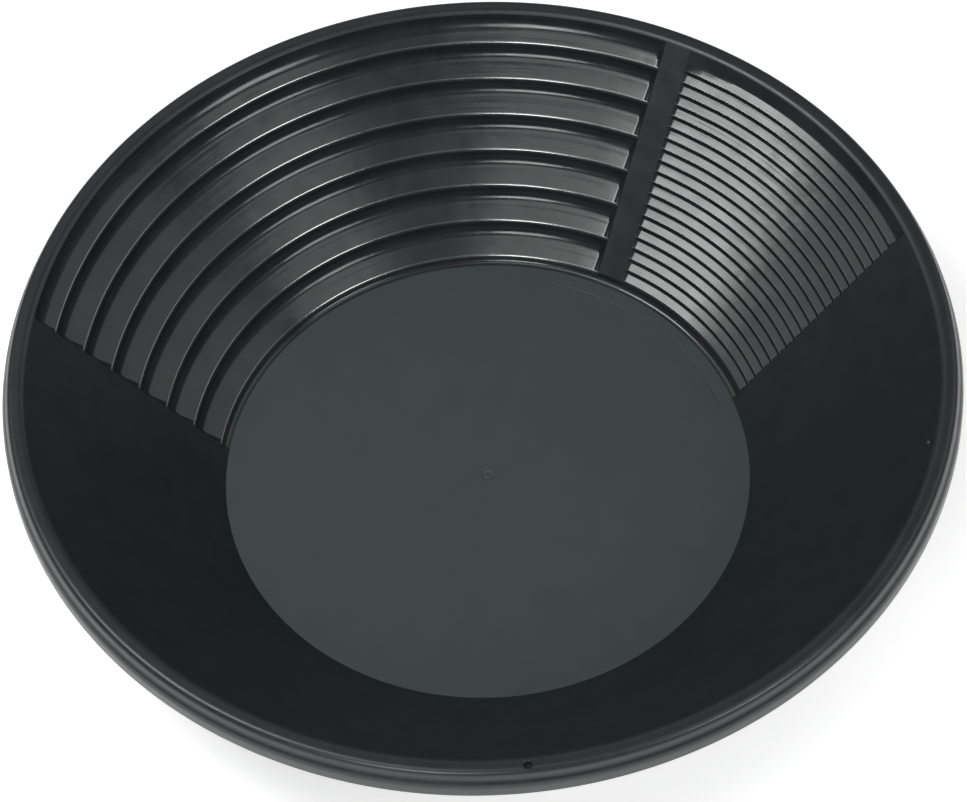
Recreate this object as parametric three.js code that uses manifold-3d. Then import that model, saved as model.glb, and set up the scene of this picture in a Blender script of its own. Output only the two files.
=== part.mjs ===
// Round prospector's gold pan: one moulded bowl with a flat floor, a smooth sloping wall, a field of
// coarse and fine riffles on the back wall and a rolled rim.
// Millimetres, +Z up. The origin is the middle of the underside, and +Y points at the riffles.
// The bowl is built as its features: every solid is one of them at its full wall thickness.
import * as THREE from 'three';
import { mergeVertices } from 'three/addons/utils/BufferGeometryUtils.js';
import Module from 'manifold-3d';

const wasm = await Module();
wasm.setup();

// ---- driving dimensions ----
const RIM_RADIUS = 177.8;        // widest part, the bead: a 14 inch pan
const RIM_TOP = 74;              // overall height
const FLOOR_RADIUS = 99.7;       // inner floor, where the wall starts
const FLOOR_THICKNESS = 2.5;
const WALL = 2.4;                // wall thickness, square to the wall
const WALL_RISE = 1.0145;        // height gained per millimetre of radius
const LAND_RADIUS = 93.7;        // inner edge of the floor's outer band
const GATE_RADIUS = 2.2;         // moulding gate mark in the middle of the floor
const GATE_DEPTH = 0.25;

// rolled rim
const LIP_FILLET = 3.5;          // from the wall over to the flat top of the lip
const LIP_OUTER_ROUND = 2.6;     // from the flat top down to the skirt
const SHOULDER_RADIUS = 176;     // the skirt's waist, from which it flares out to the bead
const HOLLOW_ROUND = 3.5;
const FLARE = THREE.MathUtils.degToRad(40);
const BEAD_ROUND = 4;            // from the flare down to the bead's upright face
const BEAD_FOOT = 0.8;           // rounding of the bead's lower edges
const BEAD_TOP = RIM_TOP - 5.4;
const BEAD_BOTTOM = RIM_TOP - 12;

// round ejector marks: one in the lip at the front, one high on the smooth wall
const MARK_RADIUS = 1.65;
const LIP_MARK = { radius: 173.2, degrees: -90, depth: 1.3 };
const WALL_MARK = { radius: 167.6, degrees: -18.2, depth: 0.6 };

// riffle field, in degrees from +X towards +Y
const FIELD_START = 14.5;        // clockwise end of the fine riffles
const FIELD_SPLIT = 59.5;        // divider's edge on the coarse side, a radial line
const FIELD_END = 165.5;         // anticlockwise end of the coarse riffles
const DIVIDER_WIDTH = 10.4;      // its two edges are parallel

const COARSE_COUNT = 7;
const COARSE_TOP = 161.35;       // radius of the uppermost nosing
const COARSE_PITCH = 9.8;
const COARSE_RISER = 5.6;
const COARSE_DRAFT = 0.35;
const COARSE_COVE = 1.6;         // flat across the inner corner of each step
const CREST_DRAFT = 1.3;         // lean of the last riser, under the lip
const COARSE_NOSE = 0.4;         // flat across each nosing
const COARSE_END = 1.5;          // degrees over which the steps run out at both ends
const CUT = 0.25;                // how far a flat across a corner stands off the sharp corner

const FINE_COUNT = 20;
const FINE_TOP = 163.5;
const FINE_PITCH = 3.17;
const FINE_RISER = 1.8;
const FINE_DRAFT = 0.12;

// ---- derived points of the cross-section, as [radius, height] ----
const SLOPE = Math.atan(WALL_RISE);
const WALL_DROP = WALL / Math.cos(SLOPE);
const innerHeight = (r) => FLOOR_THICKNESS + (r - FLOOR_RADIUS) * WALL_RISE;
const outerHeight = (r) => innerHeight(r) - WALL_DROP;

const LIP_CENTRE_Z = RIM_TOP - LIP_FILLET;
const LIP_CENTRE_R = FLOOR_RADIUS
  + (RIM_TOP - FLOOR_THICKNESS) / WALL_RISE + LIP_FILLET * Math.tan(SLOPE / 2);
const lipPoint = (radius) => [
  LIP_CENTRE_R - radius * Math.sin(SLOPE),
  LIP_CENTRE_Z + radius * Math.cos(SLOPE),
];
const WALL_TOP_IN = lipPoint(LIP_FILLET);
const WALL_TOP_OUT = lipPoint(LIP_FILLET - WALL);
const WALL_FOOT_IN = [FLOOR_RADIUS, FLOOR_THICKNESS];
const WALL_FOOT_OUT = [FLOOR_RADIUS + (WALL_DROP - FLOOR_THICKNESS) / WALL_RISE, 0];

// ---- stations: the angles of the flat facets round the pan ----
function spread(from, to, steps) {
  return Array.from({ length: steps + 1 }, (_, i) => from + ((to - from) * i) / steps);
}
function chain(...runs) {
  return runs.flatMap((run, i) => (i ? run.slice(1) : run));
}
const FINE_FACETS = 9;
const COARSE_FACETS = [6, 15];          // up to +Y and on from it
const SMOOTH_FACETS = [3, 36, 3];       // up to -X, the front half, and on from +X
const FINE_STATIONS = spread(FIELD_START, FIELD_SPLIT, FINE_FACETS);
const COARSE_STATIONS = chain(
  [FIELD_SPLIT, FIELD_SPLIT + COARSE_END],
  spread(FIELD_SPLIT + COARSE_END, 90, COARSE_FACETS[0]),
  spread(90, FIELD_END - COARSE_END, COARSE_FACETS[1]),
  [FIELD_END - COARSE_END, FIELD_END],
);
const SMOOTH_STATIONS = chain(
  spread(FIELD_END, 180, SMOOTH_FACETS[0]),
  spread(180, 360, SMOOTH_FACETS[1]),
  spread(360, 360 + FIELD_START, SMOOTH_FACETS[2]),
);
const FIELD_STATIONS = chain(FINE_STATIONS, COARSE_STATIONS);
const RING_STATIONS = chain(FIELD_STATIONS, SMOOTH_STATIONS);

// ---- solids of revolution, whole or part of the way round ----
const plain = (r, z) => z;

// Puts each ring i of a lathe's vertices j at its own station. shape(r, z, i, j) gives the height.
function atStations(lathe, profile, stations, shape) {
  const position = lathe.getAttribute('position');
  stations.forEach((degrees, i) => {
    const angle = THREE.MathUtils.degToRad(degrees);
    profile.forEach((point, j) => {
      position.setXYZ(
        i * profile.length + j,
        point.x * Math.cos(angle),
        point.x * Math.sin(angle),
        shape(point.x, point.y, i, j),
      );
    });
  });
}

function welded(lathe, faces) {
  const geometry = new THREE.BufferGeometry();
  geometry.setAttribute('position', lathe.getAttribute('position'));
  geometry.setIndex(faces);
  const clean = mergeVertices(geometry, 1e-5);
  const index = Array.from(clean.index.array);
  const kept = [];
  for (let i = 0; i < index.length; i += 3) {
    const [a, b, c] = index.slice(i, i + 3);
    if (a !== b && b !== c && c !== a) kept.push(a, b, c);
  }
  clean.setIndex(kept);
  clean.computeVertexNormals();
  return clean;
}

// A full ring or disc: the outline is closed, or it starts and ends on the axis.
function ring(outline) {
  const profile = outline.map(([r, z]) => new THREE.Vector2(r, z));
  const lathe = new THREE.LatheGeometry(profile, RING_STATIONS.length - 1);
  atStations(lathe, profile, RING_STATIONS, plain);
  return welded(lathe, Array.from(lathe.index.array));
}

function flipped(faces) {
  const out = [];
  for (let i = 0; i < faces.length; i += 3) out.push(faces[i], faces[i + 2], faces[i + 1]);
  return out;
}

// A sector between two rails of the cross-section, both listed from the foot up: the face towards
// the inside of the bowl, and the face towards the outside. Both ends are capped.
// shape(r, z, i, isInner) gives a height at station i.
function sector(inner, outer, stations, shape = plain) {
  const loop = [...outer, ...[...inner].reverse()];
  const profile = [...loop, loop[0]].map(([r, z]) => new THREE.Vector2(r, z));
  const row = profile.length;
  const segments = stations.length - 1;
  const isInner = (j) => j >= outer.length && j < loop.length;
  const lathe = new THREE.LatheGeometry(profile, segments);
  atStations(lathe, profile, stations, (r, z, i, j) => shape(r, z, i, isInner(j)));

  // The lower joint face takes the other diagonal, so that it matches the piece below.
  const faces = Array.from(lathe.index.array);
  for (let i = 0; i < segments; i += 1) {
    const a = i * row + row - 2;
    const b = a + row;
    faces.splice((i * (row - 1) + row - 2) * 6, 6, a, b, b + 1, a, b + 1, a + 1);
  }

  const capAt = (start) => {
    const low = inner.map((_, k) => start + loop.length - 1 - k);
    const out = outer.map((_, k) => start + k);
    const cap = [];
    let i = 0;
    let o = 0;
    while (i < low.length - 1 || o < out.length - 1) {
      const inNext = (i + 1) / (low.length - 1);
      const outNext = (o + 1) / (out.length - 1);
      if (o === out.length - 1 || (i < low.length - 1 && inNext <= outNext)) {
        cap.push(low[i], low[i + 1], out[o]);
        i += 1;
      } else {
        cap.push(low[i], out[o + 1], out[o]);
        o += 1;
      }
    }
    return cap;
  };
  return welded(lathe, [...faces, ...flipped(capAt(0)), ...capAt(segments * row)]);
}

// ---- cuts ----
function toSolid(geometry) {
  const bare = new THREE.BufferGeometry();
  bare.setAttribute('position', geometry.getAttribute('position').clone());
  bare.setIndex(Array.from(geometry.index.array));
  const merged = mergeVertices(bare, 1e-5);
  return new wasm.Manifold(new wasm.Mesh({
    numProp: 3,
    vertProperties: new Float32Array(merged.getAttribute('position').array),
    triVerts: new Uint32Array(merged.index.array),
  }));
}

function fromSolid(solid) {
  const mesh = solid.getMesh();
  const geometry = new THREE.BufferGeometry();
  geometry.setAttribute('position', new THREE.BufferAttribute(mesh.vertProperties, 3));
  geometry.setIndex(Array.from(mesh.triVerts));
  geometry.computeVertexNormals();
  return geometry;
}

function bareSolid(geometry) {
  geometry.deleteAttribute('normal');
  geometry.deleteAttribute('uv');
  return toSolid(mergeVertices(geometry, 1e-5));
}

// A tall slab along the divider: its flank on the fine side is the divider's edge.
const SLAB_LENGTH = 140;
const SLAB_HEIGHT = 200;
const SLAB_BEYOND = 6;           // it reaches this far past the divider on the coarse side
const SLAB_STATIONS = 3;         // stations, counted back from the divider, that the slab covers
const dividerSlab = new THREE.BoxGeometry(SLAB_LENGTH, DIVIDER_WIDTH + SLAB_BEYOND, SLAB_HEIGHT);
dividerSlab.translate(SLAB_LENGTH, (SLAB_BEYOND - DIVIDER_WIDTH) / 2, 0);
dividerSlab.rotateZ(THREE.MathUtils.degToRad(FIELD_SPLIT));
const slab = bareSolid(dividerSlab);
const besideDivider = (geometry) => fromSolid(toSolid(geometry).subtract(slab));

// A round mark, sunk square into a face that leans in by an angle.
const MARK_LENGTH = 4;
const MARK_SIDES = 24;
function markAt({ radius, degrees, depth }, height, lean) {
  const pin = new THREE.CylinderGeometry(MARK_RADIUS, MARK_RADIUS, MARK_LENGTH, MARK_SIDES);
  pin.rotateX(Math.PI / 2);
  pin.translate(0, 0, MARK_LENGTH / 2 - depth);
  pin.rotateY(-lean);
  pin.translate(radius, 0, height);
  pin.rotateZ(THREE.MathUtils.degToRad(degrees));
  return bareSolid(pin);
}
const pitted = (geometry, mark) => fromSolid(toSolid(geometry).subtract(mark));

// ---- materials: black polypropylene, glossier where the mould was polished ----
const black = (name, color, roughness) => {
  const material = new THREE.MeshStandardMaterial({ color, roughness, metalness: 0 });
  material.name = name;
  return material;
};
const floorPlastic = black('floor_plastic', 0x33383a, 0.55);
const wallPlastic = black('wall_plastic', 0x1a1c1f, 0.5);
const rifflePlastic = black('riffle_plastic', 0x1c1f21, 0.22);
const rimPlastic = black('rim_plastic', 0x222426, 0.4);

const pan = new THREE.Group();
pan.name = 'gold_pan';
function add(name, geometry, material) {
  const mesh = new THREE.Mesh(geometry, material);
  mesh.name = name;
  pan.add(mesh);
}

// ---- floor ----
add('floor_disc', ring([
  [0, 0],
  [LAND_RADIUS, 0],
  [LAND_RADIUS, FLOOR_THICKNESS],
  [GATE_RADIUS, FLOOR_THICKNESS],
  [GATE_RADIUS - GATE_DEPTH, FLOOR_THICKNESS - GATE_DEPTH],
  [0, FLOOR_THICKNESS - GATE_DEPTH],
]), floorPlastic);

const LAND_TOP = [[LAND_RADIUS, FLOOR_THICKNESS], WALL_FOOT_IN];
const LAND_UNDER = [[LAND_RADIUS, 0], WALL_FOOT_OUT];
add('floor_margin', sector(LAND_TOP, LAND_UNDER, SMOOTH_STATIONS), floorPlastic);
add('floor_riffle_land', sector(LAND_TOP, LAND_UNDER, FIELD_STATIONS), floorPlastic);

// ---- coarse riffles: steps whose nosings lie on the wall's slope ----
// Each riser faces the middle of the pan, and each tread runs outward to the next riser's foot.
const nosing = (k) => {
  const r = COARSE_TOP - (k - 1) * COARSE_PITCH;
  return new THREE.Vector2(r, innerHeight(r));
};
const riserFoot = (k) => {
  if (k === 0) {
    const r = WALL_TOP_IN[0] - CREST_DRAFT;
    return new THREE.Vector2(r, nosing(1).y + (r - nosing(1).x) * treadRise());
  }
  const top = nosing(k);
  const height = k === COARSE_COUNT ? top.y - FLOOR_THICKNESS : COARSE_RISER;
  return new THREE.Vector2(top.x - COARSE_DRAFT, top.y - height);
};
function treadRise() {
  const foot = riserFoot(1);
  return (foot.y - nosing(2).y) / (foot.x - nosing(2).x);
}
const towards = (from, to, distance) => {
  const step = new THREE.Vector2().subVectors(to, from).setLength(distance);
  return step.add(from);
};
const pair = (v) => [v.x, v.y];

// The outside runs parallel to the inside, one wall thickness away, with mitred corners.
function mitre(before, corner, after) {
  const a = new THREE.Vector2().subVectors(corner, before).normalize();
  const b = new THREE.Vector2().subVectors(after, corner).normalize();
  const out = new THREE.Vector2(a.y + b.y, -a.x - b.x);
  return out.multiplyScalar(WALL / (1 + a.dot(b))).add(corner);
}
const floorEdge = new THREE.Vector2(...WALL_FOOT_IN);
const lipEdge = new THREE.Vector2(...WALL_TOP_IN);
const outerFoot = (k) => {
  const before = k === COARSE_COUNT ? floorEdge : nosing(k + 1);
  const after = k === 0 ? lipEdge : nosing(k);
  return mitre(before, riserFoot(k), after);
};
// the inner corner of a step, taken flat across: its riser side, its middle and its tread side
const cove = (k) => {
  const foot = riserFoot(k);
  const onRiser = towards(foot, k === 0 ? lipEdge : nosing(k), COARSE_COVE);
  const onTread = towards(foot, k === COARSE_COUNT ? floorEdge : nosing(k + 1), COARSE_COVE);
  const middle = new THREE.Vector2().addVectors(onRiser, onTread).multiplyScalar(0.5);
  return { onRiser, middle: middle.lerp(foot, CUT), onTread };
};

// ---- plain wall and the divider between the two kinds of riffle ----
// The riffle insert's foot is a low riser that runs on under the divider and the fine riffles. Its
// back stands out from the plain outside of the wall, up to BACK_TOP.
const FOOT = riserFoot(COARSE_COUNT);
const FOOT_TOP = nosing(COARSE_COUNT);
const BACK_FOOT = outerFoot(COARSE_COUNT);
const backLean = COARSE_DRAFT / (FOOT_TOP.y - FOOT.y);
const backRise = (outerHeight(BACK_FOOT.x) - BACK_FOOT.y) / (1 - WALL_RISE * backLean);
const BACK_TOP = new THREE.Vector2(BACK_FOOT.x + backRise * backLean, BACK_FOOT.y + backRise);

add('wall_smooth', pitted(
  sector([WALL_FOOT_IN, WALL_TOP_IN], [WALL_FOOT_OUT, WALL_TOP_OUT], SMOOTH_STATIONS),
  markAt(WALL_MARK, innerHeight(WALL_MARK.radius), SLOPE),
), wallPlastic);
const INSERT_OUTER = [WALL_FOOT_OUT, pair(BACK_FOOT), pair(BACK_TOP), WALL_TOP_OUT];
add('divider_strip', fromSolid(toSolid(sector(
  [WALL_FOOT_IN, pair(FOOT), pair(FOOT_TOP), WALL_TOP_IN],
  INSERT_OUTER,
  FINE_STATIONS.slice(-SLAB_STATIONS),
)).intersect(slab)), wallPlastic);

// The steps run out to the plain wall at both ends of the field. The foot's riser runs out only at
// the far end: beside the divider it goes on.
const lastCoarse = COARSE_STATIONS.length - 1;
const runOut = (r, z, i, isInner) => {
  if (i > 0 && i < lastCoarse) return z;
  const foot = isInner ? r <= FOOT_TOP.x : r <= BACK_TOP.x;
  if (i === 0 && foot) return z;
  return isInner ? innerHeight(r) : Math.max(outerHeight(r), 0);
};

for (let k = 1; k <= COARSE_COUNT; k += 1) {
  const lowest = k === COARSE_COUNT;
  const here = cove(k);
  const next = cove(k - 1);
  const inner = [
    ...(lowest ? [floorEdge, here.onTread] : []),
    here.middle,
    here.onRiser,
    towards(nosing(k), riserFoot(k), COARSE_NOSE),
    towards(nosing(k), riserFoot(k - 1), COARSE_NOSE),
    next.onTread,
    next.middle,
  ];
  const outer = [
    ...(lowest ? [new THREE.Vector2(...WALL_FOOT_OUT)] : []),
    outerFoot(k),
    mitre(riserFoot(k), nosing(k), riserFoot(k - 1)),
    outerFoot(k - 1),
  ];
  add(
    `coarse_riffle_${k}`,
    sector(inner.map(pair), outer.map(pair), COARSE_STATIONS, runOut),
    rifflePlastic,
  );
}
add('coarse_crest', sector(
  [cove(0).middle, cove(0).onRiser, lipEdge].map(pair),
  [pair(outerFoot(0)), WALL_TOP_OUT],
  COARSE_STATIONS,
  runOut,
), rifflePlastic);

// ---- fine riffles: sawtooth ridges on their own stretch of wall ----
const fineNosing = (j) => FINE_TOP - (j - 1) * FINE_PITCH;
const fineFoot = (j) => [
  fineNosing(j) - FINE_DRAFT,
  innerHeight(fineNosing(j)) - FINE_RISER,
];
// The lowest ridge stands on the foot's riser, from where the line through the feet crosses it.
const footLean = COARSE_DRAFT / (FOOT_TOP.y - FOOT.y);
const bedAt = (r) => innerHeight(r + FINE_DRAFT) - FINE_RISER;
const bedRise = (bedAt(FOOT.x) - FOOT.y) / (1 - WALL_RISE * footLean);
const FOOT_BED = [FOOT.x + bedRise * footLean, FOOT.y + bedRise];

add('fine_wall', besideDivider(sector(
  [WALL_FOOT_IN, pair(FOOT), FOOT_BED, fineFoot(0), WALL_TOP_IN],
  INSERT_OUTER,
  FINE_STATIONS,
)), rifflePlastic);
for (let j = 1; j <= FINE_COUNT; j += 1) {
  const crest = [fineNosing(j), innerHeight(fineNosing(j))];
  const lowest = j === FINE_COUNT;
  const face = lowest ? [FOOT_BED, pair(FOOT_TOP), crest] : [fineFoot(j), crest];
  add(
    `fine_riffle_${String(j).padStart(2, '0')}`,
    besideDivider(sector(face, [face[0], fineFoot(j - 1)], FINE_STATIONS)),
    rifflePlastic,
  );
}

// ---- rolled rim ----
function arc(r, z, radius, from, to, steps) {
  const curve = new THREE.EllipseCurve(r, z, radius, radius, from, to, from > to);
  return curve.getPoints(steps).map(pair);
}
const ARC_STEPS = 4;
const FOOT_STEPS = 2;
const SHOULDER_R = SHOULDER_RADIUS - LIP_OUTER_ROUND;
const SHOULDER_Z = RIM_TOP - LIP_OUTER_ROUND;
const SKIRT_INNER = SHOULDER_RADIUS - WALL;
const hollow = arc(
  SHOULDER_RADIUS + HOLLOW_ROUND,
  SHOULDER_Z,
  HOLLOW_ROUND,
  Math.PI,
  Math.PI + FLARE,
  ARC_STEPS,
);
const flareStart = hollow[hollow.length - 1];
const BEAD_CENTRE_Z = flareStart[1] - BEAD_ROUND * Math.sin(FLARE);
const bead = arc(RIM_RADIUS - BEAD_ROUND, BEAD_CENTRE_Z, BEAD_ROUND, FLARE, 0, ARC_STEPS);

// The lip ends and the bead begins where the flare comes down to BEAD_TOP.
const flare = [...hollow, ...bead];
const below = flare.findIndex(([, z]) => z < BEAD_TOP);
const [upper, lower] = [flare[below - 1], flare[below]];
const share = (upper[1] - BEAD_TOP) / (upper[1] - lower[1]);
const JOINT = [upper[0] + (lower[0] - upper[0]) * share, BEAD_TOP];
const lipOutline = [
  ...arc(LIP_CENTRE_R, LIP_CENTRE_Z, LIP_FILLET, Math.PI / 2 + SLOPE, Math.PI / 2, ARC_STEPS),
  ...arc(SHOULDER_R, SHOULDER_Z, LIP_OUTER_ROUND, Math.PI / 2, 0, ARC_STEPS),
  ...flare.slice(1, below),
  JOINT,
  [SKIRT_INNER, BEAD_TOP],
  [SKIRT_INNER, RIM_TOP - WALL],
  [LIP_CENTRE_R, RIM_TOP - WALL],
  WALL_TOP_OUT,
];
add('rim_lip', pitted(
  ring([...lipOutline, lipOutline[0]].reverse()),
  markAt(LIP_MARK, RIM_TOP, 0),
), rimPlastic);

const beadOutline = [
  [SKIRT_INNER, BEAD_TOP],
  JOINT,
  ...flare.slice(below),
  ...arc(RIM_RADIUS - BEAD_FOOT, BEAD_BOTTOM + BEAD_FOOT, BEAD_FOOT, 0, -Math.PI / 2, FOOT_STEPS),
  ...arc(
    SKIRT_INNER + BEAD_FOOT,
    BEAD_BOTTOM + BEAD_FOOT,
    BEAD_FOOT,
    -Math.PI / 2,
    -Math.PI,
    FOOT_STEPS,
  ),
];
add('rim_bead', ring([...beadOutline, beadOutline[0]].reverse()), rimPlastic);

export default pan;
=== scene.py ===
"""Looks of the round gold pan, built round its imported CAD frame.

Every feature of the moulding is a closed body of its own, swept round the pan's axis from a cross-section
(radius, height) that may change along the way. Shapes are worked out in millimetres and made in metres.
The pan's axis is Z, the riffles are at +Y, and angles run from +X towards +Y.
"""

import math

import bmesh
import bpy
import numpy as np
from mathutils import Matrix, Quaternion, Vector


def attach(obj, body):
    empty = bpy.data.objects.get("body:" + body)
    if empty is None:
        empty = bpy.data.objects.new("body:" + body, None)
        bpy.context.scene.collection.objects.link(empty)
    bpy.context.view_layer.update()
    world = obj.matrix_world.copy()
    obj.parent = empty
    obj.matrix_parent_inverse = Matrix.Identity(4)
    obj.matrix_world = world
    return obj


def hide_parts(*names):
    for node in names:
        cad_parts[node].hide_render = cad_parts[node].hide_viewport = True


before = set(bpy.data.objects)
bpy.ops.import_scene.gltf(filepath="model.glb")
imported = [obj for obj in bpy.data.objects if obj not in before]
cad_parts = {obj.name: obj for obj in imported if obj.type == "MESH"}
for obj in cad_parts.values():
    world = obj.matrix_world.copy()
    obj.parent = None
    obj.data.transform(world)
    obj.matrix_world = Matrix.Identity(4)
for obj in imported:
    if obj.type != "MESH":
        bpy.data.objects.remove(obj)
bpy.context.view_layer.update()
MM = 0.001


# ---- what the frame says ----
def node_points(node):
    """Radius, height (millimetres) and angle (degrees) of a CAD node's corners."""
    co = np.array([v.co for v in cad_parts[node].data.vertices], float) / MM
    angle = np.degrees(np.arctan2(co[:, 1], co[:, 0])) % 360
    return np.hypot(co[:, 0], co[:, 1]), co[:, 2], angle


WALL_R, WALL_Z, _ = node_points("wall_smooth")
LIP_Z = node_points("rim_lip")[1]
BEAD_R, BEAD_Z, _ = node_points("rim_bead")
COARSE_ANGLES = node_points("coarse_riffle_1")[2]

FLOOR_RADIUS = WALL_R.min()
LAND_RADIUS = node_points("floor_disc")[0].max()
FLOOR_TOP = node_points("floor_margin")[1].max()
LIP_EDGE = (WALL_R[WALL_Z.argmax()], WALL_Z.max())
RIM_TOP = LIP_Z.max()
RIM_RADIUS = BEAD_R.max()
SKIRT_INNER = BEAD_R.min()
BEAD_TOP = LIP_Z.min()
BEAD_BOTTOM = BEAD_Z.min()
FIELD_START = node_points("floor_riffle_land")[2].min()
FIELD_SPLIT = COARSE_ANGLES.min()
FIELD_END = COARSE_ANGLES.max()

# ---- details of the moulding, in millimetres and degrees ----
WALL = 2.4                  # wall thickness
LAND_STEP = 0.05            # the riffle insert's land stands this proud of the floor
LAND_EDGE = 0.04            # rounding of that step
SEAM_WIDTH = 0.5            # fine seam round the land, where the mould's insert ended
SEAM_DEPTH = 0.22
SEAM_ROUND = 0.05
SEAM_OPEN = 40.0            # degrees: fully open up to here, closed from there on
SEAM_CLOSED = 75.0
FOOT_NOSE = 102.55          # top of the little riser all along the riffle insert's foot
FOOT_DRAFT = 0.35
FOOT_COVE = 2.5
BACK_ROUND = 1.2            # rounding of the outer side's inner corners
DIVIDER_WIDTH = 10.4

COARSE_COUNT = 7
COARSE_TOP = 161.35
COARSE_PITCH = 9.8
COARSE_RISER = 5.6
COARSE_DRAFT = 0.35
COARSE_COVE = 5.0           # radius at the foot of each riser
COARSE_NOSE = 1.2           # radius on each nosing
COARSE_FALL = 1.5           # slope of the end walls of both fields, down from the plain wall
COARSE_FILLET = 0.5
CREST_FALL = 0.6            # the crest runs out more gently
CREST_DRAFT = 1.3
CREST_COVE = 8.0
CREST_BACK = 1.5            # rounding behind that cove

FINE_COUNT = 20
FINE_TOP = 163.5
FINE_PITCH = 3.17
FINE_RISER = 1.8
FINE_DRAFT = 0.12
FINE_COVE = 0.75
FINE_NOSE = 0.3
FINE_FALL = 1.3
FINE_FILLET = 0.18
GROOVE_FALL = 0.14          # beside the divider the groove under the lip fades away
FINE_BED = 0.45             # the ridges' bed lies this far behind their feet
GROOVE_COVE = 2.6           # the groove between the top ridge and the lip
GROOVE_END = 2.6            # its ends are round

LIP_FILLET = 3.5
LIP_SHOULDER = 2.6
SHOULDER_RADIUS = 176.0     # the skirt is hollow under the shoulder and flares out to the bead
HOLLOW_ROUND = 3.5
FLARE = math.radians(40)
SKIRT_ROUND = 1.2           # inside the skirt, under the lip
BEAD_ROUND = 4.0
BEAD_FOOT = 0.8             # rounding of the bead's outer lower corner
BEAD_HEEL = 1.0             # and of its inner one
BEAD_FLAT = 0.5             # the bead's straight sides start this far below its joints
MARK_RADIUS = 1.65          # round ejector marks, one in the lip and one high on the wall
LIP_MARK = (173.2, -90.0, 1.9)          # radius, angle, depth
WALL_MARK = (167.6, -18.2, 0.6)
START_SKEW = -2.8           # the field's two edges pass beside the axis by these distances
END_SKEW = 4.6
GATE_RADIUS = 2.2
GATE_DEPTH = 0.25

PAINTED_HIGHLIGHT_LAYER = "painted_highlight"     # vertex layer: 1 on the rounded edges that get a painted highlight
GLINT_REACH = 0.52          # how much of an edge's rounding gets the painted highlight, in its own radii
GLINT_LIFT = 0.05           # an edge that a sweep moves further than this gets no painted highlight there

# ---- fineness of the meshes ----
ARC_STEP = math.radians(9)
SHARP_ANGLE = math.radians(32)
PLAIN_STEP = 0.75           # degrees between stations where nothing changes
FIELD_STEP = 0.6            # and along the riffles
CLEAR = 3.4                 # degrees from the field's ends where plain stations start
TOUCHING = 1e-6             # two radii this close are the same
ON_EDGE = 1e-4              # a station this close to a field's edge is on it
MERGE = 1e-7                # corners this close, in metres, become one
TINY = 1e-9                 # keeps an arcsine's argument under 1
SLIVER = 0.01               # gap kept between a joint and the next point of a line

# ---- the plain cone that the wall follows ----
WALL_RISE = (LIP_EDGE[1] - FLOOR_TOP) / (LIP_EDGE[0] - FLOOR_RADIUS)
SLOPE = math.atan(WALL_RISE)
WALL_DROP = WALL / math.cos(SLOPE)


def edge(angle, skew):
    """A field edge (angle, offset) that crosses the wall's upper part at an angle."""
    return angle - math.degrees(math.asin(skew / COARSE_TOP)), skew


START_EDGE = edge(FIELD_START, START_SKEW)
END_EDGE = edge(FIELD_END, END_SKEW)
SPLIT_EDGE = (FIELD_SPLIT, 0)
DIVIDER_EDGE = (FIELD_SPLIT, -DIVIDER_WIDTH)


def cone(r):
    return FLOOR_TOP + (r - FLOOR_RADIUS) * WALL_RISE


def outer_cone(r):
    return np.maximum(cone(r) - WALL_DROP, 0)


FLOOR_EDGE = (FLOOR_RADIUS, FLOOR_TOP)
OUTER_EDGE = (FLOOR_RADIUS + (WALL_DROP - FLOOR_TOP) / WALL_RISE, 0.0)
LIP_CENTRE = (LIP_EDGE[0] + LIP_FILLET * math.sin(SLOPE), RIM_TOP - LIP_FILLET)
OUTER_TOP = (
    LIP_CENTRE[0] - (LIP_FILLET - WALL) * math.sin(SLOPE),
    LIP_CENTRE[1] + (LIP_FILLET - WALL) * math.cos(SLOPE),
)


# ---- cross-sections ----
def rounded(corners):
    """A line through (radius, height, rounding) corners, each rounded by an arc."""
    line = []
    for i, (r, z, rounding) in enumerate(corners):
        here = np.array((r, z), float)
        if rounding == 0:
            line.append(here)
            continue
        back = np.array(corners[i - 1][:2]) - here
        ahead = np.array(corners[(i + 1) % len(corners)][:2]) - here
        back /= np.linalg.norm(back)
        ahead /= np.linalg.norm(ahead)
        half = math.acos(np.clip(back @ ahead, -1, 1)) / 2
        turn = math.pi - 2 * half
        centre = here + (back + ahead) / np.linalg.norm(back + ahead) * rounding / math.sin(half)
        start = here + back * rounding / math.tan(half) - centre
        stop = here + ahead * rounding / math.tan(half) - centre
        steps = max(3, math.ceil(turn / ARC_STEP))
        for t in np.linspace(0, 1, steps + 1):
            mixed = math.sin((1 - t) * turn) * start + math.sin(t * turn) * stop
            line.append(centre + mixed / math.sin(turn))
    return np.array(line)


def mitred(corners, roundings):
    """The line one wall thickness behind a line of corners, with its own roundings."""
    points = [np.array(c[:2], float) for c in corners]
    out = []
    for before, here, after, rounding in zip(points, points[1:], points[2:], roundings):
        a = (here - before) / np.linalg.norm(here - before)
        b = (after - here) / np.linalg.norm(after - here)
        side = np.array((a[1] + b[1], -a[0] - b[0])) * WALL / (1 + a @ b)
        out.append((*(here + side), rounding))
    return out


def part_of(line, start, stop):
    """The points of a line between two radii, with the ends added."""
    r = line[:, 0]
    inside = line[(r > start + TOUCHING) & (r < stop - TOUCHING)]
    ends = [(x, np.interp(x, r, line[:, 1])) for x in (start, stop)]
    return np.vstack([ends[0], inside, ends[1]])


def along(a, b, distance):
    a, b = np.array(a[:2], float), np.array(b[:2], float)
    return a + (b - a) / np.linalg.norm(b - a) * distance


def arc(centre, radius, start, stop):
    steps = max(3, math.ceil(abs(stop - start) / ARC_STEP))
    t = np.linspace(start, stop, steps + 1)
    return np.column_stack([centre[0] + radius * np.cos(t), centre[1] + radius * np.sin(t)])


# ---- stations: (angle, offset) planes, the offset being square to that angle's radius ----
def steady(start, stop, step):
    count = max(1, round(abs(stop - start) / step))
    return [(angle, 0.0) for angle in np.linspace(start, stop, count + 1)]


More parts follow.
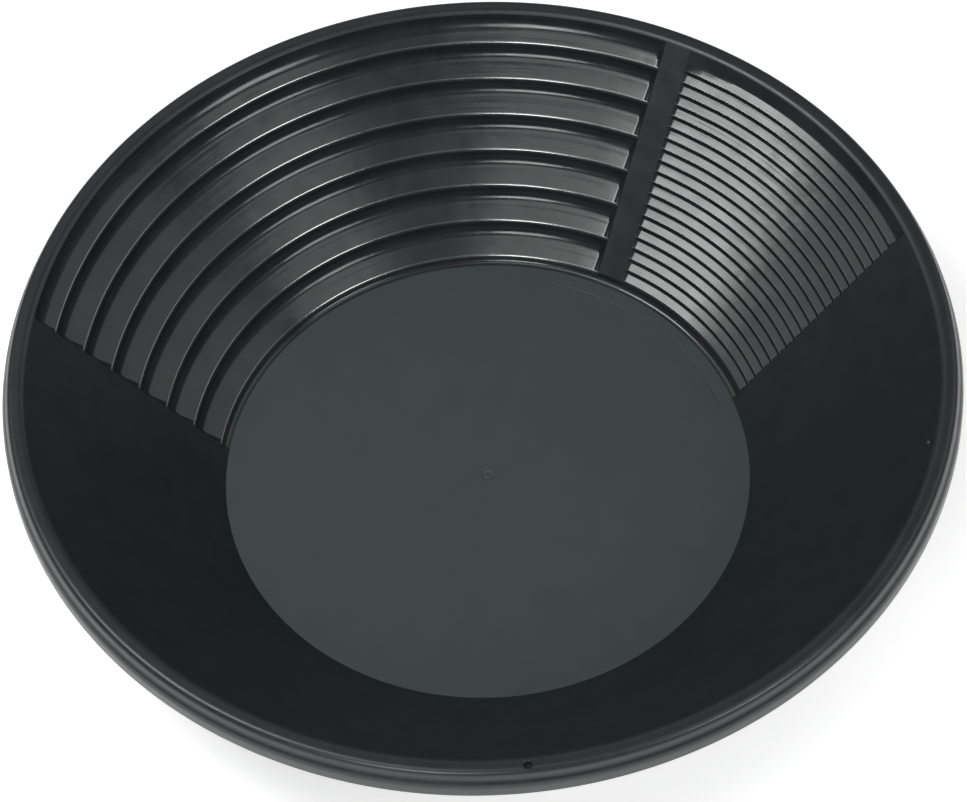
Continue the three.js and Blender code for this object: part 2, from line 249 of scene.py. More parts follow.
def beside(border, start, stop, step):
    """Stations parallel to a border (angle, offset), from start to stop away from it."""
    angle, offset = border
    count = max(1, round(abs(stop - start) / step))
    return [(angle, offset + away) for away in np.linspace(start, stop, count + 1)]


def swept(name, rows, stations, heights=None, closed=False, painted_highlight_rows=None):
    """A closed body: a loop of (radius, height) rows carried through the stations.

    The last argument says which rows get a painted highlight, as long as the sweep leaves their height alone.
    """
    rows = np.asarray(rows, float)
    radius = rows[:, 0]
    rings, painted_highlight_marks = [], []
    for i, (angle, offset) in enumerate(stations):
        turn = math.radians(angle) + np.arcsin(offset / np.maximum(radius, abs(offset) + TINY))
        z = rows[:, 1] if heights is None else heights(i)
        rings.append(np.column_stack([radius * np.cos(turn), radius * np.sin(turn), z]) * MM)
        kept = np.abs(z - rows[:, 1]) < GLINT_LIFT
        painted_highlight_marks.append(np.zeros(len(rows)) if painted_highlight_rows is None else painted_highlight_rows * kept)
    bm = bmesh.new()
    # painted highlight: the marked rows go into a vertex layer that the material turns pale and metallic
    painted_highlight = bm.verts.layers.float.new(PAINTED_HIGHLIGHT_LAYER)
    grid = [[bm.verts.new(p) for p in ring] for ring in rings]
    for ring, marks in zip(grid, painted_highlight_marks):
        for vert, mark in zip(ring, marks):
            vert[painted_highlight] = mark
    count = len(rows)
    pairs = list(zip(grid, grid[1:] + grid[:1])) if closed else list(zip(grid, grid[1:]))
    for near, far in pairs:
        for j in range(count):
            k = (j + 1) % count
            bm.faces.new((near[j], near[k], far[k], far[j]))
    if not closed:
        bm.faces.new(grid[0])
        bm.faces.new(grid[-1])
    bmesh.ops.remove_doubles(bm, verts=bm.verts, dist=MERGE)
    bmesh.ops.dissolve_degenerate(bm, edges=bm.edges, dist=MERGE)
    bmesh.ops.recalc_face_normals(bm, faces=bm.faces)
    mesh = bpy.data.meshes.new(name)
    bm.to_mesh(mesh)
    bm.free()
    return mesh


def near_corners(rows, corners, rounding):
    """Which rows lie on the rounding of one of these corners, its two ends left out."""
    gaps = np.linalg.norm(rows[:, None, :] - np.array(corners)[None, :, :], axis=2)
    return (gaps.min(axis=1) < rounding * GLINT_REACH).astype(float)


def finish_shading(mesh):
    for polygon in mesh.polygons:
        polygon.use_smooth = True
    mesh.set_sharp_from_angle(angle=SHARP_ANGLE)


def piece(node, mesh, material):
    """A moulded feature that stands for its CAD node."""
    finish_shading(mesh)
    obj = bpy.data.objects.new(f"moulded_{node}", mesh)
    bpy.context.scene.collection.objects.link(obj)
    mesh.materials.append(material)
    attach(obj, "root")
    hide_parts(node)
    return obj


# ---- materials ----
IOR = 1.49                  # polypropylene
SHADE_STOPS = (0.35, 0.68)  # the noise is all dark below the first and all light above the second
GLOSS_SCALE = 2.3           # the gloss varies in smaller patches than the shade does,
GLOSS_STOPS = (0.3, 0.7)    # between these noise levels
GLOSS_SPREAD = (-0.04, 0.05)            # by these changes in roughness
GRAIN_SCALE = 2600.0
GRAIN_DEPTH = 0.00006
SCUFF_PATCH = 30.0          # scuffs come in patches,
SCUFF_COVER = (0.45, 0.6)   # from none below the first of these noise levels to all above the second


def plastic(
    name, dark, light, roughness, grain, patch=55.0,
    scuffs=0.0, scuff_turns=900.0, scuff_depth=0.00004, painted_highlight_grey=0.0,
):
    """Moulded polypropylene: two close shades in soft patches, a fine grain and faint scuffs.

    The last argument is the pale grey of the painted highlight on the marked edges, on the pieces that have
    them.
    """
    material = bpy.data.materials.new(name)
    material.use_nodes = True
    nodes, links = material.node_tree.nodes, material.node_tree.links
    shader = nodes["Principled BSDF"]
    place = nodes.new("ShaderNodeTexCoord")

    def noise(scale, detail, rough=0.5):
        node = nodes.new("ShaderNodeTexNoise")
        node.inputs["Scale"].default_value = scale
        node.inputs["Detail"].default_value = detail
        node.inputs["Roughness"].default_value = rough
        links.new(place.outputs["Object"], node.inputs["Vector"])
        return node.outputs["Fac"]

    def ranged(value, low, high, to_low, to_high):
        node = nodes.new("ShaderNodeMapRange")
        for socket, number in zip(("From Min", "From Max", "To Min", "To Max"), (low, high, to_low, to_high)):
            node.inputs[socket].default_value = number
        links.new(value, node.inputs["Value"])
        return node.outputs["Result"]

    shades = nodes.new("ShaderNodeValToRGB")
    for stop, position, shade in zip(shades.color_ramp.elements, SHADE_STOPS, (dark, light)):
        stop.position = position
        stop.color = (*shade, 1)
    links.new(noise(patch, 3.0), shades.inputs["Fac"])
    colour = shades.outputs["Color"]
    if painted_highlight_grey:
        # painted highlight: the marked edges are made metallic and pale grey, so they show as bright lines
        painted_highlight_mask = nodes.new("ShaderNodeAttribute")
        painted_highlight_mask.attribute_name = PAINTED_HIGHLIGHT_LAYER
        links.new(painted_highlight_mask.outputs["Fac"], shader.inputs["Metallic"])
        painted_highlight_colour = nodes.new("ShaderNodeMix")
        painted_highlight_colour.data_type = "RGBA"
        links.new(painted_highlight_mask.outputs["Fac"], painted_highlight_colour.inputs["Factor"])
        links.new(colour, painted_highlight_colour.inputs["A"])
        painted_highlight_colour.inputs["B"].default_value = (painted_highlight_grey, painted_highlight_grey, painted_highlight_grey, 1)
        colour = painted_highlight_colour.outputs["Result"]
    links.new(colour, shader.inputs["Base Color"])

    shader.inputs["IOR"].default_value = IOR

    glossy, matt = (roughness + change for change in GLOSS_SPREAD)
    gloss = ranged(noise(patch * GLOSS_SCALE, 4.0), *GLOSS_STOPS, glossy, matt)
    links.new(gloss, shader.inputs["Roughness"])

    fine = nodes.new("ShaderNodeBump")
    fine.inputs["Strength"].default_value = grain
    fine.inputs["Distance"].default_value = GRAIN_DEPTH
    links.new(noise(GRAIN_SCALE, 2.0, 0.6), fine.inputs["Height"])
    last = fine
    if scuffs:
        # faint scratches that run round the pan, broken up by a coarse noise
        split = nodes.new("ShaderNodeSeparateXYZ")
        links.new(place.outputs["Object"], split.inputs["Vector"])
        flat = nodes.new("ShaderNodeCombineXYZ")
        links.new(split.outputs["X"], flat.inputs["X"])
        links.new(split.outputs["Y"], flat.inputs["Y"])
        length = nodes.new("ShaderNodeVectorMath")
        length.operation = "LENGTH"
        links.new(flat.outputs["Vector"], length.inputs[0])
        rings = nodes.new("ShaderNodeTexNoise")
        rings.noise_dimensions = "1D"
        rings.inputs["Scale"].default_value = scuff_turns
        rings.inputs["Detail"].default_value = 3.0
        links.new(length.outputs["Value"], rings.inputs["W"])
        broken = nodes.new("ShaderNodeMath")
        broken.operation = "MULTIPLY"
        links.new(rings.outputs["Fac"], broken.inputs[0])
        links.new(ranged(noise(SCUFF_PATCH, 3.0), *SCUFF_COVER, 0.0, 1.0), broken.inputs[1])
        last = nodes.new("ShaderNodeBump")
        last.inputs["Strength"].default_value = scuffs
        last.inputs["Distance"].default_value = scuff_depth
        links.new(broken.outputs["Value"], last.inputs["Height"])
        links.new(fine.outputs["Normal"], last.inputs["Normal"])
    links.new(last.outputs["Normal"], shader.inputs["Normal"])
    return material


FLOOR_PLASTIC = plastic(
    "floor_plastic", (0.027, 0.038, 0.0405), (0.029, 0.040, 0.0425), 0.52, 0.5, scuffs=0.25,
)
WALL_PLASTIC = plastic("wall_plastic", (0.0068, 0.009, 0.0102), (0.009, 0.0118, 0.0137), 0.36, 0.3)
# riffles: the marked nosing edges carry a painted highlight, pale grey and metallic
RIFFLE_PLASTIC = plastic(
    "riffle_plastic", (0.012, 0.014, 0.015), (0.018, 0.020, 0.021), 0.18, 0.12,
    scuffs=0.9, scuff_turns=420.0, scuff_depth=0.00012, painted_highlight_grey=0.25,
)
RIM_PLASTIC = plastic("rim_plastic", (0.012, 0.015, 0.016), (0.016, 0.019, 0.020), 0.32, 0.2)

# ---- the foot shared by everything on the riffle insert ----
LAND_TOP = FLOOR_TOP + LAND_STEP
FOOT = (FOOT_NOSE - FOOT_DRAFT, LAND_TOP, FOOT_COVE)
FOOT_TOP = (FOOT_NOSE, cone(FOOT_NOSE), COARSE_NOSE)
FOOT_START = (FLOOR_RADIUS, LAND_TOP, 0)
FOOT_REACH = FOOT_NOSE + 0.39           # the foot's own shape is followed up to here


def end_wall(z, plain, distance, fall, fillet):
    """Riffle heights near a field's end: a flat end wall leans up from them to the plain wall."""
    wall = plain - fall * distance
    gap = z - wall
    blend = (z + wall) / 2 + (gap**2 + fillet**2) / (4 * fillet)
    joined = np.where(np.abs(gap) < fillet, blend, np.maximum(z, wall))
    return np.where(distance > ON_EDGE, np.minimum(joined, np.maximum(plain, z)), plain)


def foot_line(r):
    """Height of the foot's own shape, which carries on past the divider."""
    return np.interp(r, FOOT_SHAPE[:, 0], FOOT_SHAPE[:, 1])


FOOT_SHAPE = rounded([FOOT_START, FOOT, FOOT_TOP, (*along(FOOT_TOP, LIP_EDGE, 5), 0)])
INSERT_BACK = rounded([
    (*OUTER_EDGE, 0),
    *mitred([(*FLOOR_EDGE, 0), FOOT, FOOT_TOP, LIP_EDGE], [FOOT_COVE + WALL, BACK_ROUND]),
    (*OUTER_TOP, 0),
])


# ---- floor ----
def disc(name, outline, stations):
    """A turned disc: the outline starts and ends on the axis."""
    bm = bmesh.new()
    outline = np.asarray(outline, float)
    turns = [math.radians(a) for a, _ in stations[:-1]]
    tops = []
    for r, z in outline:
        if r < TOUCHING:
            tops.append([bm.verts.new((0, 0, z * MM))])
        else:
            tops.append([bm.verts.new((r * math.cos(t) * MM, r * math.sin(t) * MM, z * MM)) for t in turns])
    count = len(turns)
    for a, b in zip(tops, tops[1:]):
        for i in range(count):
            j = (i + 1) % count
            if len(a) == 1:
                bm.faces.new((a[0], b[i], b[j]))
            elif len(b) == 1:
                bm.faces.new((a[i], b[0], a[j]))
            else:
                bm.faces.new((a[i], b[i], b[j], a[j]))
    bmesh.ops.recalc_face_normals(bm, faces=bm.faces)
    mesh = bpy.data.meshes.new(name)
    bm.to_mesh(mesh)
    bm.free()
    return mesh


BORDER_STEP = 1.4           # between stations parallel to a field's edge
SMOOTH_STATIONS = [
    *beside(END_EDGE, 0, 2 * BORDER_STEP, BORDER_STEP),
    *steady(FIELD_END + 3.5, FIELD_START + 357, PLAIN_STEP),
    *[(angle + 360, offset) for angle, offset in beside(START_EDGE, -BORDER_STEP, 0, BORDER_STEP)],
]
ALL_STATIONS = steady(0, 360, PLAIN_STEP)

GATE_BOSS = FLOOR_TOP - GATE_DEPTH * 0.4            # a low boss stands in the middle of the mark
GATE = [
    (0, GATE_BOSS, 0),
    (GATE_RADIUS * 0.35, GATE_BOSS, 0.1),
    (GATE_RADIUS * 0.5, FLOOR_TOP - GATE_DEPTH, 0.3),
    (GATE_RADIUS * 0.85, FLOOR_TOP - GATE_DEPTH, 0.2),
    (GATE_RADIUS, FLOOR_TOP, 0.15),
    (GATE_RADIUS * 2, FLOOR_TOP, 0),
]
FLOOR_STEPS = 8
FLOOR_RINGS = [(r, FLOOR_TOP) for r in np.linspace(GATE_RADIUS * 2, LAND_RADIUS, FLOOR_STEPS + 1)[1:]]
UNDER_RINGS = [(r, 0.0) for r in np.linspace(LAND_RADIUS, 0, FLOOR_STEPS + 1)]
piece(
    "floor_disc",
    disc("floor_disc_mesh", [*rounded(GATE), *FLOOR_RINGS, *UNDER_RINGS], ALL_STATIONS),
    FLOOR_PLASTIC,
)
piece(
    "floor_margin",
    swept(
        "floor_margin_mesh",
        [(LAND_RADIUS, FLOOR_TOP), FLOOR_EDGE, OUTER_EDGE, (LAND_RADIUS, 0)],
        SMOOTH_STATIONS,
    ),
    FLOOR_PLASTIC,
)
SEAM_STEP = SEAM_WIDTH / 4
LAND_STATIONS = [
    *beside(START_EDGE, 0, SEAM_WIDTH, SEAM_STEP),
    *steady(FIELD_START + 1, FIELD_END - 1, PLAIN_STEP),
    *beside(END_EDGE, -SEAM_WIDTH, 0, SEAM_STEP),
]
LAND = rounded([
    (LAND_RADIUS, FLOOR_TOP, 0),
    (LAND_RADIUS + SEAM_WIDTH * 0.3, FLOOR_TOP - SEAM_DEPTH, SEAM_ROUND),
    (LAND_RADIUS + SEAM_WIDTH * 0.6, FLOOR_TOP - SEAM_DEPTH, SEAM_ROUND),
    (LAND_RADIUS + SEAM_WIDTH, LAND_TOP, LAND_EDGE),
    (FLOOR_RADIUS, LAND_TOP, 0),
])
land_rows = np.vstack([LAND, OUTER_EDGE, (LAND_RADIUS, 0)])


def land_heights(i):
    """The seam round the insert's land is open beside the fine riffles and closes up on the other side."""
    r, z = land_rows[:, 0], land_rows[:, 1]
    angle, offset = LAND_STATIONS[i]
    seam = np.clip((SEAM_CLOSED - angle) / (SEAM_CLOSED - SEAM_OPEN), 0, 1)
    shut = np.where(r < LAND_RADIUS + SEAM_WIDTH + LAND_EDGE, FLOOR_TOP, LAND_TOP)
    z = np.where(z > FLOOR_TOP / 2, shut + (z - shut) * seam, z)
    for turn, skew in (START_EDGE, END_EDGE):
        from_end = abs(offset - skew) / SEAM_WIDTH
        if angle == turn and from_end < 0.99:
            z = np.where(z > FLOOR_TOP / 2, FLOOR_TOP - SEAM_DEPTH * math.sin(math.pi * from_end), z)
    return z


piece(
    "floor_riffle_land",
    swept("floor_riffle_land_mesh", land_rows, LAND_STATIONS, land_heights),
    FLOOR_PLASTIC,
)

# ---- smooth wall ----
WALL_STEPS = 12
wall_in = np.linspace(FLOOR_EDGE, LIP_EDGE, WALL_STEPS + 1)
wall_out = np.linspace(OUTER_TOP, OUTER_EDGE, WALL_STEPS + 1)
wall_smooth = piece(
    "wall_smooth",
    swept("wall_smooth_mesh", [*wall_in, *wall_out], SMOOTH_STATIONS),
    WALL_PLASTIC,
)

# ---- divider between the coarse and the fine riffles ----
DIVIDER_STEPS = 24
rise_radii = np.linspace(FOOT_REACH + SLIVER, LIP_EDGE[0], DIVIDER_STEPS + 1)
divider_in = [p for p in FOOT_SHAPE if p[0] < FOOT_REACH] + [(r, cone(r)) for r in rise_radii]
divider_out = part_of(INSERT_BACK, OUTER_EDGE[0], OUTER_TOP[0])[::-1]
piece(
    "divider_strip",
    swept(
        "divider_strip_mesh",
        [*divider_in, *divider_out],
        beside(DIVIDER_EDGE, 0, DIVIDER_WIDTH, DIVIDER_WIDTH / 16),
    ),
    WALL_PLASTIC,
)


# ---- coarse riffles ----
def nosing(k):
    r = COARSE_TOP - (k - 1) * COARSE_PITCH
    return np.array((r, cone(r)))


def riser_foot(k):
    if k == COARSE_COUNT:
        return np.array(FOOT[:2])
    if k == 0:
        r = LIP_EDGE[0] - CREST_DRAFT
        return np.array((r, nosing(1)[1] + (r - nosing(1)[0]) * TREAD_RISE))
    return nosing(k) - (COARSE_DRAFT, COARSE_RISER)


TREAD_RISE = (riser_foot(1)[1] - nosing(2)[1]) / (riser_foot(1)[0] - nosing(2)[0])

coarse_corners = [FOOT_START, FOOT]
coarse_backs = [FOOT_COVE + WALL]
for k in range(COARSE_COUNT, 0, -1):
    coarse_corners.append((*nosing(k), COARSE_NOSE))
    coarse_corners.append((*riser_foot(k - 1), COARSE_COVE if k > 1 else CREST_COVE))
    coarse_backs += [BACK_ROUND, COARSE_COVE if k > 1 else CREST_BACK]
coarse_corners.append((*LIP_EDGE, 0))
COARSE_LINE = rounded(coarse_corners)
coarse_outer = mitred([(*FLOOR_EDGE, 0), *coarse_corners[1:]], coarse_backs)
COARSE_BACK = rounded([(*OUTER_EDGE, 0), *coarse_outer, (*OUTER_TOP, 0)])

COARSE_RAMP = 4.8           # the end walls are over this far from the edge
COARSE_RAMP_STEP = 0.3
COARSE_STATIONS = [
    *beside(SPLIT_EDGE, 0, COARSE_RAMP, COARSE_RAMP_STEP),
    *steady(FIELD_SPLIT + CLEAR, FIELD_END - CLEAR, FIELD_STEP),
    *beside(END_EDGE, -COARSE_RAMP, 0, COARSE_RAMP_STEP),
]


def distance_from(station, border, radius):
    """Length along the circle from a field's border (angle, offset) to a station."""
    def turn(place):
        return math.radians(place[0]) + np.arcsin(place[1] / radius)
    return np.abs(turn(station) - turn(border)) * radius


def coarse_heights(rows, inner_count, stations):
    r, z = rows[:, 0], rows[:, 1]
    inner = np.arange(len(rows)) < inner_count
    plain = np.where(inner, np.where(r < FLOOR_RADIUS + TOUCHING, FLOOR_TOP, cone(r)), outer_cone(r))
    foot = np.where(inner & (r < FOOT_REACH), foot_line(r), plain)
    crest = np.clip((r - COARSE_TOP) / (LIP_EDGE[0] - COARSE_TOP), 0, 1)
    fall = COARSE_FALL + (CREST_FALL - COARSE_FALL) * crest

    def heights(i):
        near = distance_from(stations[i], SPLIT_EDGE, r)
        far = distance_from(stations[i], END_EDGE, r)
        return np.where(
            near < far,
            end_wall(z, foot, near, fall, COARSE_FILLET),
            end_wall(z, plain, far, COARSE_FALL, COARSE_FILLET),
        )

    return heights


COARSE_JOINT = COARSE_COVE * 0.6 + 0.5


def step_joint(k):
    """Where riffle k meets the one above: on its tread, just short of the cove."""
    return along(riser_foot(k - 1), nosing(k), COARSE_JOINT)


def behind(point, direction):
    """The point one wall thickness behind a tread."""
    d = np.array(direction) / np.linalg.norm(direction)
    return point + np.array((d[1], -d[0])) * WALL


def coarse_piece(node, low, high):
    tread = np.array((1.0, TREAD_RISE))
    low_in = FLOOR_RADIUS if low is None else low[0]
    high_in = LIP_EDGE[0] if high is None else high[0]
    low_out = OUTER_EDGE[0] if low is None else behind(low, tread)[0]
    high_out = OUTER_TOP[0] if high is None else behind(high, tread)[0]
    inner = part_of(COARSE_LINE, low_in, high_in)
    outer = part_of(COARSE_BACK, low_out, high_out)[::-1]
    rows = np.vstack([inner, outer])
    heights = coarse_heights(rows, len(inner), COARSE_STATIONS)
    # the nosings' roundings get the painted highlight
    painted_highlight_rows = near_corners(rows, [nosing(k) for k in range(1, COARSE_COUNT + 1)], COARSE_NOSE)
    mesh = swept(f"{node}_mesh", rows, COARSE_STATIONS, heights, painted_highlight_rows=painted_highlight_rows)
    piece(node, mesh, RIFFLE_PLASTIC)


for k in range(1, COARSE_COUNT + 1):
    low = None if k == COARSE_COUNT else step_joint(k + 1)
    coarse_piece(f"coarse_riffle_{k}", low, step_joint(k))
coarse_piece("coarse_crest", step_joint(1), None)


# ---- fine riffles ----
def fine_crest(j):
    r = FINE_TOP - (j - 1) * FINE_PITCH
    return np.array((r, cone(r)))


def fine_foot(j):
    return fine_crest(j) - (FINE_DRAFT, FINE_RISER)


fine_corners = [FOOT_START, FOOT, FOOT_TOP, (*fine_crest(FINE_COUNT), FINE_NOSE)]
for j in range(FINE_COUNT - 1, 0, -1):
    fine_corners.append((*fine_foot(j), FINE_COVE))
    fine_corners.append((*fine_crest(j), FINE_NOSE))
fine_corners += [(*fine_foot(0), GROOVE_COVE), (*LIP_EDGE, 0)]
FINE_LINE = rounded(fine_corners)

FINE_RAMP = 1.8             # the ridges' end walls are over this far from the edge
FINE_RAMP_STEP = 0.15
GROOVE_NEAR = FINE_RAMP + 0.4           # the groove's round ends go on from here
GROOVE_FAR = GROOVE_END * 2.6           # and are over here
GROOVE_STEP = 0.5
FINE_STATIONS = [
    *beside(START_EDGE, 0, FINE_RAMP, FINE_RAMP_STEP),
    *beside(START_EDGE, GROOVE_NEAR, GROOVE_FAR, GROOVE_STEP),
    *steady(FIELD_START + CLEAR + 0.8, FIELD_SPLIT - CLEAR - 7, FIELD_STEP),
    *beside(DIVIDER_EDGE, -GROOVE_FAR, -GROOVE_NEAR, GROOVE_STEP),
    *beside(DIVIDER_EDGE, -FINE_RAMP, 0, FINE_RAMP_STEP),
]
FINE_JOINT = FINE_COVE * 0.6 + 0.25
RIDGE_LOW = FOOT_NOSE - FOOT_DRAFT * 0.35           # the lowest ridge begins on the foot's riser


def fine_joint(j):
    """Where ridge j's tread meets the next ridge's foot."""
    return along(fine_foot(j - 1), fine_crest(j), FINE_JOINT)


def bed(r):
    """The face of the wall under the ridges."""
    return cone(r + FINE_DRAFT) - FINE_RISER - FINE_BED


def fine_heights(rows, inner, stations):
    """inner says which rows are on the face that shows."""
    r, z = rows[:, 0], rows[:, 1]
    plain = np.where(r < FLOOR_RADIUS + TOUCHING, FLOOR_TOP, cone(r))
    foot = np.where(r < FOOT_REACH, foot_line(r), plain)
    groove = (r - fine_crest(1)[0]) / (LIP_EDGE[0] - fine_crest(1)[0])
    bow = 1 - np.sqrt(np.clip(1 - (2 * groove - 1) ** 2, 0, 1))
    inset = np.where(groove > 0, GROOVE_END * bow, 0)
    fall = np.where(groove > 0, GROOVE_FALL, FINE_FALL)
    fillet = np.where(groove > 0, COARSE_FILLET, FINE_FILLET)

    def heights(i):
        first = distance_from(stations[i], START_EDGE, r)
        last = distance_from(stations[i], DIVIDER_EDGE, r)
        start = end_wall(z, plain, np.maximum(first - inset, 0), FINE_FALL, fillet)
        stop = end_wall(z, foot, last, fall, FINE_FILLET)
        return np.where(inner, np.where(first < last, start, stop), z)

    return heights


def fine_piece(node, inner, outer):
    rows = np.vstack([inner, outer])
    shows = np.arange(len(rows)) < len(inner)
    # the ridge crests get a painted highlight; the lowest edge, which stands on the foot's riser, gets none
    painted_highlight_rows = near_corners(rows, [fine_crest(j) for j in range(1, FINE_COUNT)], FINE_NOSE)
    heights = fine_heights(rows, shows, FINE_STATIONS)
    mesh = swept(f"{node}_mesh", rows, FINE_STATIONS, heights, painted_highlight_rows=painted_highlight_rows)
    piece(node, mesh, RIFFLE_PLASTIC)


for j in range(1, FINE_COUNT + 1):
    low = RIDGE_LOW if j == FINE_COUNT else fine_joint(j + 1)[0]
    high = fine_joint(j)[0]
    inner = part_of(FINE_LINE, low, high)
    fine_piece(f"fine_riffle_{j:02d}", inner, [(high, bed(high)), (low, bed(low))])

ridge_high = fine_joint(1)[0]
foot_part = part_of(FINE_LINE, FLOOR_RADIUS, RIDGE_LOW)
groove_part = part_of(FINE_LINE, ridge_high, LIP_EDGE[0])
bed_part = [(r, bed(r)) for r in np.linspace(RIDGE_LOW, ridge_high, DIVIDER_STEPS)]
wall_back = part_of(INSERT_BACK, OUTER_EDGE[0], OUTER_TOP[0])[::-1]
rows = np.vstack([foot_part, bed_part, groove_part, wall_back])
shows = np.zeros(len(rows), bool)
shows[:len(foot_part)] = True
shows[len(foot_part) + len(bed_part):-len(wall_back)] = True
piece(
    "fine_wall",
    swept("fine_wall_mesh", rows, FINE_STATIONS, fine_heights(rows, shows, FINE_STATIONS)),
    RIFFLE_PLASTIC,
)

# ---- rolled rim ----
SHOULDER = (SHOULDER_RADIUS - LIP_SHOULDER, RIM_TOP - LIP_SHOULDER)
HOLLOW_CENTRE = (SHOULDER_RADIUS + HOLLOW_ROUND, SHOULDER[1])
FLARE_START = (
    HOLLOW_CENTRE[0] - HOLLOW_ROUND * math.cos(FLARE),
    HOLLOW_CENTRE[1] - HOLLOW_ROUND * math.sin(FLARE),
)
BEAD_CENTRE = (RIM_RADIUS - BEAD_ROUND, FLARE_START[1] - BEAD_ROUND * math.sin(FLARE))
skirt = np.vstack([
    arc(HOLLOW_CENTRE, HOLLOW_ROUND, math.pi, math.pi + FLARE),
    arc(BEAD_CENTRE, BEAD_ROUND, FLARE, 0),
])
bead_joint = (np.interp(-BEAD_TOP, -skirt[:, 1], skirt[:, 0]), BEAD_TOP)
lip_rows = np.vstack([
    arc(LIP_CENTRE, LIP_FILLET, math.pi / 2 + SLOPE, math.pi / 2),
    arc(SHOULDER, LIP_SHOULDER, math.pi / 2, 0),
    skirt[(skirt[:, 1] > BEAD_TOP + SLIVER) & (skirt[:, 1] < SHOULDER[1] - SLIVER)],
    rounded([
        (*bead_joint, 0),
        (SKIRT_INNER, BEAD_TOP, 0),
        (SKIRT_INNER, RIM_TOP - WALL, SKIRT_ROUND),
        (LIP_CENTRE[0], RIM_TOP - WALL, 0),
        (*OUTER_TOP, 0),
    ]),
])
RING_STATIONS = ALL_STATIONS[:-1]
lip_mesh = swept("rim_lip_mesh", lip_rows, RING_STATIONS, closed=True)

bead_rows = np.vstack([
    [(SKIRT_INNER, BEAD_TOP), bead_joint],
    skirt[skirt[:, 1] < BEAD_TOP - SLIVER],
    rounded([
        (RIM_RADIUS, BEAD_CENTRE[1] - BEAD_FLAT, 0),
        (RIM_RADIUS, BEAD_BOTTOM, BEAD_FOOT),
        (SKIRT_INNER, BEAD_BOTTOM, BEAD_HEEL),
        (SKIRT_INNER, BEAD_TOP - BEAD_FLAT, 0),
    ]),
])
bead_mesh = swept("rim_bead_mesh", bead_rows, RING_STATIONS, closed=True)
rim_lip = piece("rim_lip", lip_mesh, RIM_PLASTIC)
piece("rim_bead", bead_mesh, RIM_PLASTIC)


# ---- round ejector marks ----
CUTTER_TOP = 1.5            # the cutter stands this far out of the face
MARK_STEP = 10              # degrees between the mark's sides


def dent(obj, mark, height, lean):
    """Cuts a round mark into a piece, square to a face that leans in by an angle."""
    radius, angle, depth = mark
    # a flat bottom, a steep side and a slightly eased brim
    profile = [
        (0, -depth),
        (MARK_RADIUS - 0.4, -depth),
        (MARK_RADIUS - 0.15, -depth * 0.8),
        (MARK_RADIUS, -depth * 0.5),
        (MARK_RADIUS, -0.15),
        (MARK_RADIUS + 0.2, 0.03),
        (MARK_RADIUS + 0.2, CUTTER_TOP),
        (0, CUTTER_TOP),
    ]
    mesh = disc("dent", profile, steady(0, 360, MARK_STEP))
    place = Matrix.Rotation(math.radians(angle), 4, "Z")
    place @= Matrix.Translation((radius * MM, 0, height * MM)) @ Matrix.Rotation(-lean, 4, "Y")
    mesh.transform(place)
    cutter = bpy.data.objects.new("dent", mesh)
    bpy.context.scene.collection.objects.link(cutter)
    cut = obj.modifiers.new("dent", "BOOLEAN")
    cut.operation = "DIFFERENCE"
    cut.solver = "EXACT"
    cut.object = cutter
    bpy.context.view_layer.update()
    result = bpy.data.meshes.new_from_object(obj.evaluated_get(bpy.context.evaluated_depsgraph_get()))
    obj.modifiers.remove(cut)
    result.name = obj.data.name
    obj.data = result
    bpy.data.objects.remove(cutter)
    finish_shading(result)


dent(rim_lip, LIP_MARK, RIM_TOP, 0.0)
dent(wall_smooth, WALL_MARK, cone(WALL_MARK[0]), SLOPE)


# ---- floor, lights, world and camera ----
def softbox(name, azimuth, elevation, size, watts, distance=1.8):
    """A soft light round the pan, aimed at it. Azimuth runs from +X towards +Y."""
    a, e = math.radians(azimuth), math.radians(elevation)
    place = Vector((math.cos(a) * math.cos(e), math.sin(a) * math.cos(e), math.sin(e))) * distance
    light = bpy.data.lights.new(name, "AREA")
    light.shape = "DISK"
    light.size = size
    light.energy = watts
    obj = bpy.data.objects.new(name, light)
    bpy.context.scene.collection.objects.link(obj)
    obj.location = place
    obj.rotation_mode = "QUATERNION"
    obj.rotation_quaternion = (-place).to_track_quat("-Z", "Y")


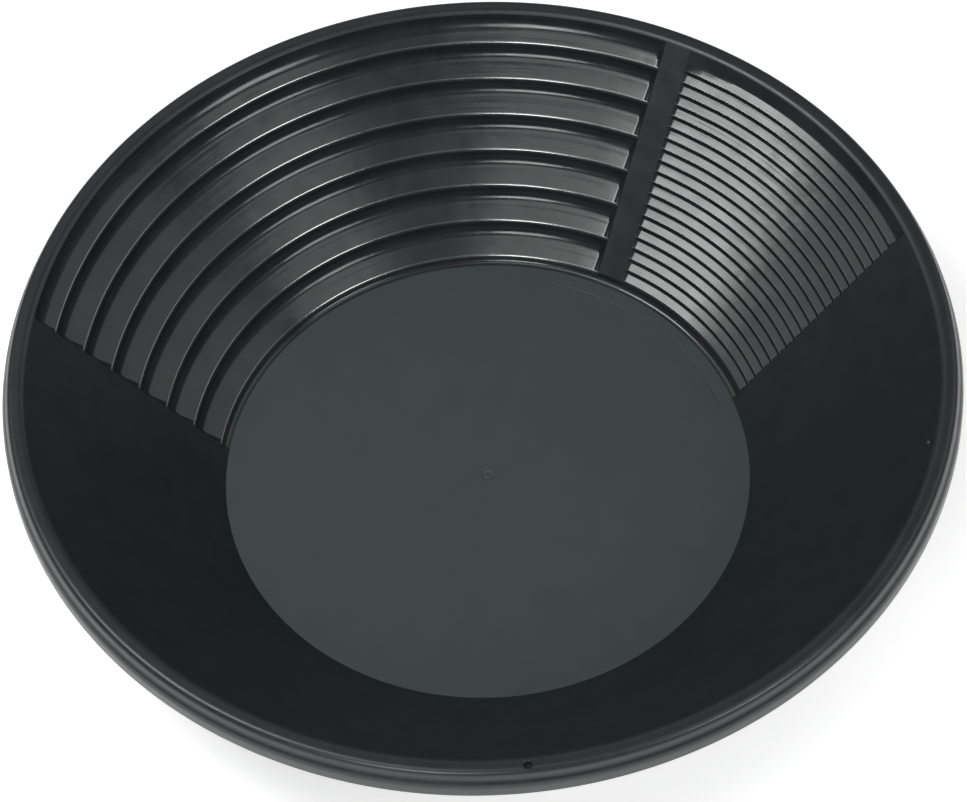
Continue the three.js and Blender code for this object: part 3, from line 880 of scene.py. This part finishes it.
def studio_floor(size, z):
    mesh = bpy.data.meshes.new("studio_floor")
    half = size / 2
    corners = [(-half, -half, z), (half, -half, z), (half, half, z), (-half, half, z)]
    mesh.from_pydata(corners, [], [(0, 1, 2, 3)])
    material = bpy.data.materials.new("studio_floor")
    material.use_nodes = True
    shader = material.node_tree.nodes["Principled BSDF"]
    shader.inputs["Base Color"].default_value = (0.9, 0.9, 0.9, 1)
    shader.inputs["Roughness"].default_value = 0.9
    shader.inputs["Specular IOR Level"].default_value = 0.1
    shader.inputs["Emission Color"].default_value = (1, 1, 1, 1)
    shader.inputs["Emission Strength"].default_value = 0.5
    mesh.materials.append(material)
    obj = bpy.data.objects.new("studio_floor", mesh)
    bpy.context.scene.collection.objects.link(obj)


def studio_world(strength):
    world = bpy.data.worlds.new("studio")
    world.use_nodes = True
    world.node_tree.nodes["Background"].inputs["Color"].default_value = (1, 1, 1, 1)
    world.node_tree.nodes["Background"].inputs["Strength"].default_value = strength
    bpy.context.scene.world = world


def camera(azimuth, elevation, distance, roll, aim, lens):
    """Azimuth and elevation of the camera seen from the pan, in degrees."""
    a, e = math.radians(azimuth), math.radians(elevation)
    back = Vector((math.cos(a) * math.cos(e), math.sin(a) * math.cos(e), math.sin(e)))
    data = bpy.data.cameras.new("camera")
    data.lens = lens
    data.sensor_width = 36
    data.clip_end = 50
    obj = bpy.data.objects.new("camera", data)
    bpy.context.scene.collection.objects.link(obj)
    obj.location = aim + back * distance
    obj.rotation_mode = "QUATERNION"
    level = (-back).to_track_quat("-Z", "Y")
    obj.rotation_quaternion = level @ Quaternion((0, 0, 1), math.radians(roll))
    bpy.context.scene.camera = obj


studio_floor(size=8, z=-0.2 * MM)       # just clear of the pan's flat underside
studio_world(0.15)
camera(
    azimuth=-92.75,
    elevation=54.52,
    distance=1.9387,
    roll=-3.32,
    aim=Vector((0.0018, 0.03475, FLOOR_TOP * MM)),
    lens=187.64,
)
softbox("key", 176, 61, 0.7, 11.5)
softbox("fill", 318, 38, 0.7, 8.0)
softbox("front", 224, 69, 0.9, 3.9)
softbox("low", 250, 34, 0.6, 8.5)
softbox("top", 305, 78, 0.9, 0.4)
softbox("side", 345, 67, 0.6, 1.5)
softbox("right", 26, 43, 1.3, 2.9)
softbox("left", 155, 46, 1.2, 3.5)
softbox("rear", 100, 45, 1.0, 1.0)

bpy.context.scene.view_settings.view_transform = "Standard"
